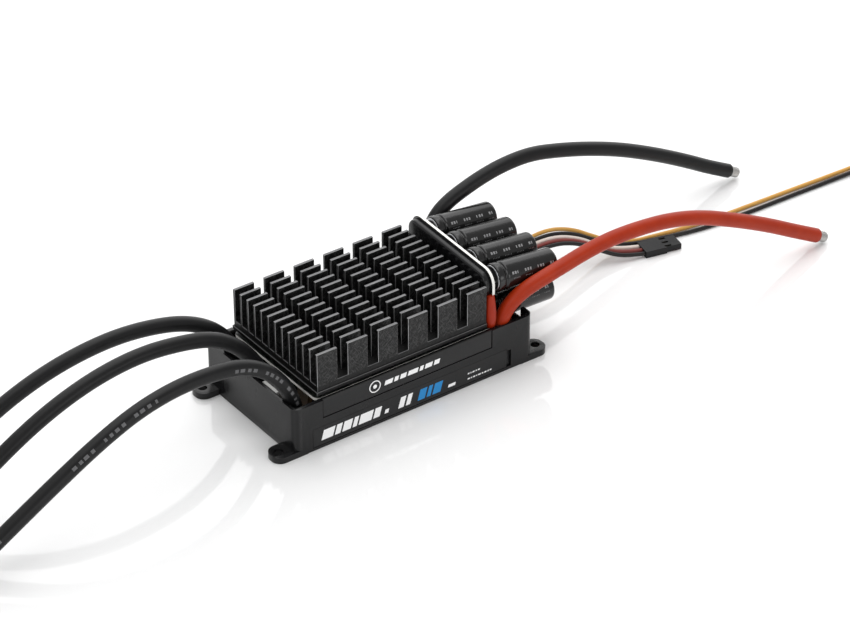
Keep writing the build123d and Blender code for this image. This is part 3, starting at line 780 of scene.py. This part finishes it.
def finTree(name, values, fin, material):
    # a grid of fins, each leaning by a hair
    tree = bpy.data.node_groups.new(name, "GeometryNodeTree")
    tree.interface.new_socket("Geometry", in_out="OUTPUT", socket_type="NodeSocketGeometry")
    sockets = {}
    for label, kind in (("Columns", "NodeSocketInt"), ("Rows", "NodeSocketInt"),
                        ("Column Pitch", "NodeSocketFloat"), ("Row Pitch", "NodeSocketFloat"),
                        ("Centre", "NodeSocketVector"), ("Lean", "NodeSocketFloat"),
                        ("Seed", "NodeSocketInt"), ("Fin", "NodeSocketObject"),
                        ("Finish", "NodeSocketMaterial")):
        sockets[label] = tree.interface.new_socket(label, in_out="INPUT", socket_type=kind).identifier
    source, end = tree.nodes.new("NodeGroupInput"), tree.nodes.new("NodeGroupOutput")

    def step(kind, links):
        node = tree.nodes.new(kind)
        for slot, value in links.items():
            if isinstance(value, bpy.types.NodeSocket):
                tree.links.new(value, node.inputs[slot])
            else:
                node.inputs[slot].default_value = value
        return node

    def maths(operation, a, b):
        node = step("ShaderNodeMath", {0: a, 1: b})
        node.operation = operation
        return node.outputs[0]

    given = {label: source.outputs[label] for label in sockets}
    wide = maths("MULTIPLY", given["Column Pitch"], maths("SUBTRACT", given["Columns"], 1.0))
    deep = maths("MULTIPLY", given["Row Pitch"], maths("SUBTRACT", given["Rows"], 1.0))
    grid = step("GeometryNodeMeshGrid", {"Size X": wide, "Size Y": deep, "Vertices X": given["Columns"],
                                         "Vertices Y": given["Rows"]})
    moved = step("GeometryNodeTransform", {"Geometry": grid.outputs["Mesh"], "Translation": given["Centre"]})
    prototype = step("GeometryNodeObjectInfo", {"Object": given["Fin"]})
    little = step("FunctionNodeRandomValue", {})
    little.data_type = "FLOAT_VECTOR"
    down = maths("MULTIPLY", given["Lean"], -1.0)
    low, high = step("ShaderNodeCombineXYZ", {2: down}), step("ShaderNodeCombineXYZ", {2: given["Lean"]})
    tree.links.new(low.outputs[0], little.inputs[0])
    tree.links.new(high.outputs[0], little.inputs[1])
    tree.links.new(given["Seed"], little.inputs["Seed"])
    fins = step("GeometryNodeInstanceOnPoints", {"Points": moved.outputs[0],
                                                 "Instance": prototype.outputs["Geometry"],
                                                 "Rotation": little.outputs[0]})
    real = step("GeometryNodeRealizeInstances", {"Geometry": fins.outputs[0]})
    finished = step("GeometryNodeSetMaterial", {"Geometry": real.outputs[0], "Material": given["Finish"]})
    tree.links.new(finished.outputs[0], end.inputs[0])
    holder = bpy.data.objects.new(name, bpy.data.meshes.new(name))
    scene.collection.objects.link(holder)
    modifier = holder.modifiers.new("fins", "NODES")
    modifier.node_group = tree
    for label, value in dict(values, Fin=fin, Finish=material).items():
        modifier[sockets[label]] = value
    mesh = frozen(holder)
    bpy.data.objects.remove(holder)
    bpy.data.node_groups.remove(tree)
    return mesh


low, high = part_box("heatsink")
baseTop = high.z - sink["finHigh"]
flangeBottom = low.z + sink["foot"]
fin = bpy.data.objects.new("finShape", bevelledBlock(
    "finShape", (-sink["finLength"] / 2, -sink["finThick"] / 2, baseTop - sink["root"]),
    (sink["finLength"] / 2, sink["finThick"] / 2, high.z), sink["edge"]))
scene.collection.objects.link(fin)
finSpanY = (high.y - low.y) - 2 * sink["baseInset"] - sink["finThick"]
firstColumn = low.x + sink["endInset"] + sink["finLength"] / 2
finMesh = finTree("heat_sink_fins", {
    "Columns": sink["columns"], "Rows": sink["rows"], "Column Pitch": sink["columnPitch"],
    "Row Pitch": finSpanY / (sink["rows"] - 1), "Lean": sink["lean"], "Seed": 4,
    "Centre": (firstColumn + sink["columnPitch"] * (sink["columns"] - 1) / 2, (low.y + high.y) / 2, 0.0),
}, fin, finishes["anodisedFins"])
bpy.data.objects.remove(fin)
fins = addObject("heat_sink_fins", finMesh, "anodisedFins")
standFor(fins, "anodised_black", "heatsink")

shape = bmesh.new()
for name, corner, far in (
        ("flange", (low.x, low.y, flangeBottom), (high.x, high.y, flangeBottom + sink["flange"])),
        ("base", (low.x + sink["endInset"], low.y + sink["baseInset"], flangeBottom + sink["overlap"]),
         (high.x, high.y - sink["baseInset"], baseTop))):
    part = bevelledBlock(name, corner, far, sink["baseEdge"])
    shape.from_mesh(part)
    bpy.data.meshes.remove(part)
mesh = bpy.data.meshes.new("heat_sink_base")
shape.to_mesh(mesh)
shape.free()
standFor(addObject("heat_sink_base", mesh, "anodisedBase"), "anodised_black", "heatsink")
print("heat sink built from", sink["columns"] * sink["rows"], "fins")


# capacitor bank

bank = {"yaw": -2.5, "sides": 72, "sleeveStart": 0.35 * mm,
        "upper": {"radius": 5.1 * mm, "length": 24.5 * mm, "droop": 4.5},
        "lower": {"radius": 5.0 * mm, "length": 25.2 * mm, "droop": 0.0},
        "turn": {1: 0.01, 2: -0.03, 3: -0.01, 4: -0.02}}


def sleeveOutline(radius, length):
    # (distance from the board end, radius) round the outside, over both rolled lips
    grooveFrom, grooveTo, grooveDeep, roll = 2.3 * mm, 3.9 * mm, 0.55 * mm, 1.0 * mm
    outline = [(0.03 * mm, radius - 1.5 * mm), (-0.02 * mm, radius - 1.1 * mm),
               (0.02 * mm, radius - 0.62 * mm), (0.20 * mm, radius - 0.28 * mm),
               (0.55 * mm, radius - 0.07 * mm), (0.95 * mm, radius),
               (2.1 * mm, radius)]
    for i in range(13):
        t = i / 12
        dip = grooveDeep * math.sin(math.pi * t) ** 1.5
        outline.append((grooveFrom + (grooveTo - grooveFrom) * t, radius - dip))
    outline += [(4.3 * mm, radius), (length * 0.5, radius - 0.03 * mm), (length - 1.2 * mm, radius)]
    for i in range(1, 7):
        angle = math.pi / 2 * i / 6
        outline.append((length - roll + roll * math.sin(angle), radius - roll * (1 - math.cos(angle))))
    outline += [(length - 0.04 * mm, radius - 1.45 * mm), (length - 0.22 * mm, radius - 1.6 * mm)]
    return outline


for row in ("upper", "lower"):
    size = bank[row]
    for number in (1, 2, 3, 4):
        node = f"capacitor_{row}_{number}"
        low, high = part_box(node)
        facing = Matrix.Rotation(math.radians(bank["yaw"]), 4, "Z") \
            @ Matrix.Rotation(math.radians(90 + size["droop"]), 4, "Y")
        middle = (size["length"] + bank["sleeveStart"]) / 2
        place = Matrix.Translation((low + high) / 2) @ facing @ Matrix.Translation((0, 0, -middle))
        outline = sleeveOutline(size["radius"], size["length"])
        rings = []
        for along, radius in outline:
            ring = []
            for s in range(bank["sides"]):
                angle = 2 * math.pi * (s / bank["sides"] + bank["turn"][number])
                ring.append(place @ Vector((radius * math.cos(angle), radius * math.sin(angle), along)))
            rings.append(ring)
        mesh = ringsToMesh(node, rings, [along for along, radius in outline], False, False)
        shadeSmooth(mesh, 60)
        standFor(addObject(node + "_sleeve", mesh, "sleeveBlack"), "sleeve_black", node)
print("capacitor sleeves shrunk on")


# short link sleeves beside the bank

link = {"waist": 1.45 * mm, "belly": 0.42 * mm, "outwards": 0.35 * mm, "sides": 28, "steps": 20}


def linkSleeve(node, name, look, slot, outwards):
    # soft sleeve, fuller below its middle, leaning out a little
    low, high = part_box(node)
    middle = (low + high) / 2
    rings, rows = [], []
    for i in range(link["steps"] + 1):
        t = i / link["steps"]
        swell = math.sin(math.pi * min(1.0, t ** 0.8 + 0.06))
        closing = min(1.0, 0.86 + 8 * min(t, 1 - t) * 0.14)
        radius = (link["waist"] + link["belly"] * swell) * closing
        centre = Vector((middle.x - 0.12 * mm * swell, middle.y + outwards * link["outwards"] * swell,
                         low.z + (high.z - low.z) * t))
        rings.append([centre + Vector((radius * math.cos(a), radius * math.sin(a), 0))
                      for a in [2 * math.pi * k / link["sides"] for k in range(link["sides"])]])
        rows.append((high.z - low.z) * t)
    mesh = ringsToMesh(name, rings, rows)
    shadeSmooth(mesh, 60)
    standFor(addObject(name, mesh, look), slot, node)


linkSleeve("positive_link", "link_sleeve_red", "linkRed", "silicone_red", -1)
linkSleeve("negative_link", "link_sleeve_black", "linkBlack", "silicone_black", 1)
print("link sleeves pushed on")


# printed marks

print3d = {"proud": 0.03 * mm, "sunk": 0.06 * mm, "slant": 0.30, "face": -26.895 * mm,
           "turnedAbout": -2 * mm}


def slantedBar(shape, x, z, wide, high, slant, face, depth, index):
    # one closed plate in the XZ plane, its front at y = face
    corners = [(x, z), (x + wide, z), (x + wide + slant * high, z + high), (x + slant * high, z + high)]
    front = [shape.verts.new((a, face, b)) for a, b in corners]
    back = [shape.verts.new((a, face + depth, b)) for a, b in corners]
    made = [shape.faces.new(front), shape.faces.new(back[::-1])]
    for i in range(4):
        j = (i + 1) % 4
        made.append(shape.faces.new((front[j], front[i], back[i], back[j])))
    for panel in made:
        panel.material_index = index


def ringMark(shape, x, z, outer, inner, face, depth, index, sides=40):
    rims = []
    for radius, y in ((outer, face), (inner, face), (inner, face + depth), (outer, face + depth)):
        rims.append([shape.verts.new((x + radius * math.cos(2 * math.pi * i / sides), y,
                                      z + radius * math.sin(2 * math.pi * i / sides))) for i in range(sides)])
    for a, b in zip(rims, rims[1:] + rims[:1]):
        for i in range(sides):
            j = (i + 1) % sides
            shape.faces.new((a[i], a[j], b[j], b[i])).material_index = index


def marks(name, side, bars, rings):
    # side -1 is the front; the rear copy is turned round so that it reads the same way
    shape = bmesh.new()
    face, depth = print3d["face"], print3d["proud"] + print3d["sunk"]
    for x, z, wide, high, index in bars:
        slantedBar(shape, x * mm, z * mm, wide * mm, high * mm, print3d["slant"], face, depth, index)
    for x, z, outer, inner, index in rings:
        ringMark(shape, x * mm, z * mm, outer * mm, inner * mm, face, depth, index)
    if side > 0:
        bmesh.ops.rotate(shape, verts=shape.verts, cent=(print3d["turnedAbout"], 0, 0),
                         matrix=Matrix.Rotation(math.pi, 3, "Z"))
    bmesh.ops.recalc_face_normals(shape, faces=shape.faces)
    mesh = bpy.data.meshes.new(name)
    shape.to_mesh(mesh)
    shape.free()
    piece = addObject(name, mesh, "printWhite", "printBlue")
    standFor(piece, "label_film")


def blockRow(start, z, high, gap, widths, ink):
    # plain slanted blocks side by side, in millimetres; ink 0 is white, 1 blue
    row, x = [], start
    for wide in widths:
        row.append((x, z, wide, high, ink))
        x += wide + gap
    return row


bars = blockRow(-38.8, 3.1, 3.7, 0.75, (4.6, 2.2, 3.4, 1.7, 5.2, 2.6), 0)
bars += blockRow(-13.3, 3.2, 1.5, 0.0, (1.5,), 0)
bars += blockRow(-7.7, 2.9, 4.1, 0.9, (2.2, 1.8), 0)
bars += blockRow(0.3, 2.8, 4.1, 0.8, (2.9, 1.6, 3.3), 1)
bars += blockRow(12.9, 3.0, 1.1, 0.0, (3.0,), 0)
bars += blockRow(21.2, 5.0, 0.5, 0.45, (0.7, 0.4, 0.9, 0.5, 0.8), 0)
bars += blockRow(21.2, 2.9, 0.5, 0.45, (0.9, 0.5, 0.8, 0.4, 1.1, 0.6, 0.9, 0.5, 0.7), 0)
bars += blockRow(-13.2, 14.6, 1.7, 0.8, (3.1, 1.6, 2.4, 4.0, 1.4, 2.9, 2.2), 0)
rings = [(-17.0, 15.7, 2.3, 1.95, 0), (-17.0, 15.7, 0.75, 0.02, 0)]
marks("print_front", -1, bars, rings)
marks("print_rear", 1, bars, rings)
print("marks printed")


# finishes of the remaining CAD parts

cadLooks = {
    "power_board": "powerBoardGreen", "control_board": "powerBoardGreen", "capacitor_board": "bankBoardBlack",
    "power_mosfets": "chipBlack", "microcontroller": "chipBlack", "gate_drivers": "chipBlack",
    "voltage_regulators": "chipBlack", "signal_header": "chipBlack", "thermal_pad": "thermalGrey",
    "board_spacers": "brassPlate", "phase_bars": "tinnedCopper", "supply_bars": "tinnedCopper",
    "motor_terminals": "tinnedCopper", "battery_terminals": "tinnedCopper",
    "ceramic_capacitors": "ceramicBrown", "inspection_label": "tagPaper",
    "capacitor_cans": "canAluminium", "capacitor_seals": "sealRubber",
    "capacitor_leads": "tinnedStrands",
    "signal_plug_housing": "plugPlastic", "program_plug_housing": "plugPlastic",
    "signal_plug_contacts": "goldContact", "program_plug_contacts": "goldContact",
}
for node, look in cadLooks.items():
    if not nodes[node].material_slots:
        nodes[node].data.materials.append(None)
    for holder in nodes[node].material_slots:
        holder.material = finishes[look]
print("CAD parts finished:", len(cadLooks))


# floor and light

studio = {"floor": 4.0, "sky": 0.55,
          "lamps": [("overhead", (0.10, 0.25, 1.30), (1.3, 1.3), 11.0),
                    ("behind", (0.80, 1.10, 0.80), (3.0, 1.5), 17.0),
                    ("left", (-0.95, -0.35, 0.55), (0.5, 0.7), 2.0),
                    ("front", (0.10, -1.10, 0.30), (0.9, 0.4), 2.6)]}


def addStudio(look):
    size = look["floor"] / 2
    mesh = bpy.data.meshes.new("studio_floor")
    corners = [(-size, -size, 0), (size, -size, 0), (size, size, 0), (-size, size, 0)]
    mesh.from_pydata(corners, [], [(0, 1, 2, 3)])
    mesh.materials.append(floorPaper())
    floor = bpy.data.objects.new("studio_floor", mesh)
    scene.collection.objects.link(floor)
    world = bpy.data.worlds.new("studio")
    world.use_nodes = True
    world.node_tree.nodes["Background"].inputs["Color"].default_value = grey(1.0)
    world.node_tree.nodes["Background"].inputs["Strength"].default_value = look["sky"]
    scene.world = world
    for name, place, (wide, deep), power in look["lamps"]:
        data = bpy.data.lights.new(name, "AREA")
        data.shape, data.size, data.size_y, data.energy = "RECTANGLE", wide, deep, power
        lamp = bpy.data.objects.new(name, data)
        aim = (Vector((0, 0, 0.02)) - Vector(place)).to_track_quat("-Z", "Y")
        lamp.matrix_world = Matrix.Translation(place) @ aim.to_matrix().to_4x4()
        scene.collection.objects.link(lamp)


addStudio(studio)
print("studio lit")
